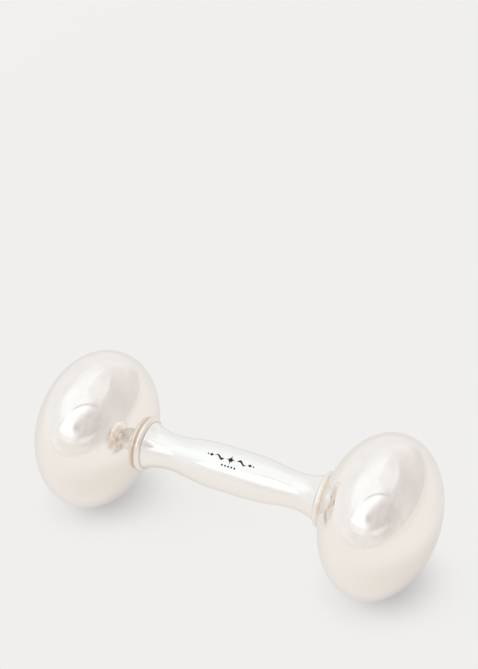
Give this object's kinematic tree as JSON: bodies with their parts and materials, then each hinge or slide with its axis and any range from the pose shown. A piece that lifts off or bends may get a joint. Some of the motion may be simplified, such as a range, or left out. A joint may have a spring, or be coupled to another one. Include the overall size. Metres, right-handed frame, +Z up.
{
  "type": "baby rattle",
  "caption": "Polished silver dumbbell rattle: two hollow flattened round heads with loose pellets inside, joined by a slim baluster handle with a beaded collar at each neck.",
  "frame": {"origin": "centre of the foot of the bounding box: on the surface the rattle lies on, below the middle of the handle", "axes": "+X along the handle, +Z up, +Y across; the rattle lies on the widest lines of its two heads, so its axis runs level at one head radius above the surface"},
  "size_m": [0.113, 0.044, 0.044],
  "materials": {
    "head_silver": "mirror-polished sterling silver",
    "handle_silver": "polished sterling silver with a fine hand-worn surface",
    "collar_silver": "polished sterling silver, slightly darkened in the grooves",
    "spigot_silver": "turned, unpolished sterling silver",
    "pellet_steel": "plain steel shot"
  },
  "bodies": {
    "shell": {"handle_upper_half": "handle_silver", "handle_lower_half": "handle_silver", "left_head_outer_dome": "head_silver", "left_head_inner_dome": "head_silver", "left_neck_spigot": "spigot_silver", "left_collar_bead": "collar_silver", "right_head_outer_dome": "head_silver", "right_head_inner_dome": "head_silver", "right_neck_spigot": "spigot_silver", "right_collar_bead": "collar_silver"},
    "left_pellet_1": {"left_pellet_1": "pellet_steel"},
    "left_pellet_2": {"left_pellet_2": "pellet_steel"},
    "left_pellet_3": {"left_pellet_3": "pellet_steel"},
    "left_pellet_4": {"left_pellet_4": "pellet_steel"},
    "left_pellet_5": {"left_pellet_5": "pellet_steel"},
    "left_pellet_6": {"left_pellet_6": "pellet_steel"},
    "right_pellet_1": {"right_pellet_1": "pellet_steel"},
    "right_pellet_2": {"right_pellet_2": "pellet_steel"},
    "right_pellet_3": {"right_pellet_3": "pellet_steel"},
    "right_pellet_4": {"right_pellet_4": "pellet_steel"},
    "right_pellet_5": {"right_pellet_5": "pellet_steel"},
    "right_pellet_6": {"right_pellet_6": "pellet_steel"}
  },
  "joints": [
    {"name": "left_pellet_1_roll", "type": "hinge", "parent": "shell", "child": "left_pellet_1", "pos_m": [-0.0413, 0, 0.022], "axis": [1, 0, 0], "continuous": true},
    {"name": "left_pellet_2_roll", "type": "hinge", "parent": "shell", "child": "left_pellet_2", "pos_m": [-0.0413, 0, 0.022], "axis": [1, 0, 0], "continuous": true},
    {"name": "left_pellet_3_roll", "type": "hinge", "parent": "shell", "child": "left_pellet_3", "pos_m": [-0.0413, 0, 0.022], "axis": [1, 0, 0], "continuous": true},
    {"name": "left_pellet_4_roll", "type": "hinge", "parent": "shell", "child": "left_pellet_4", "pos_m": [-0.0413, 0, 0.022], "axis": [1, 0, 0], "continuous": true},
    {"name": "left_pellet_5_roll", "type": "hinge", "parent": "shell", "child": "left_pellet_5", "pos_m": [-0.0413, 0, 0.022], "axis": [1, 0, 0], "continuous": true},
    {"name": "left_pellet_6_roll", "type": "hinge", "parent": "shell", "child": "left_pellet_6", "pos_m": [-0.0413, 0, 0.022], "axis": [1, 0, 0], "continuous": true},
    {"name": "right_pellet_1_roll", "type": "hinge", "parent": "shell", "child": "right_pellet_1", "pos_m": [0.0413, 0, 0.022], "axis": [1, 0, 0], "continuous": true},
    {"name": "right_pellet_2_roll", "type": "hinge", "parent": "shell", "child": "right_pellet_2", "pos_m": [0.0413, 0, 0.022], "axis": [1, 0, 0], "continuous": true},
    {"name": "right_pellet_3_roll", "type": "hinge", "parent": "shell", "child": "right_pellet_3", "pos_m": [0.0413, 0, 0.022], "axis": [1, 0, 0], "continuous": true},
    {"name": "right_pellet_4_roll", "type": "hinge", "parent": "shell", "child": "right_pellet_4", "pos_m": [0.0413, 0, 0.022], "axis": [1, 0, 0], "continuous": true},
    {"name": "right_pellet_5_roll", "type": "hinge", "parent": "shell", "child": "right_pellet_5", "pos_m": [0.0413, 0, 0.022], "axis": [1, 0, 0], "continuous": true},
    {"name": "right_pellet_6_roll", "type": "hinge", "parent": "shell", "child": "right_pellet_6", "pos_m": [0.0413, 0, 0.022], "axis": [1, 0, 0], "continuous": true}
  ]
}
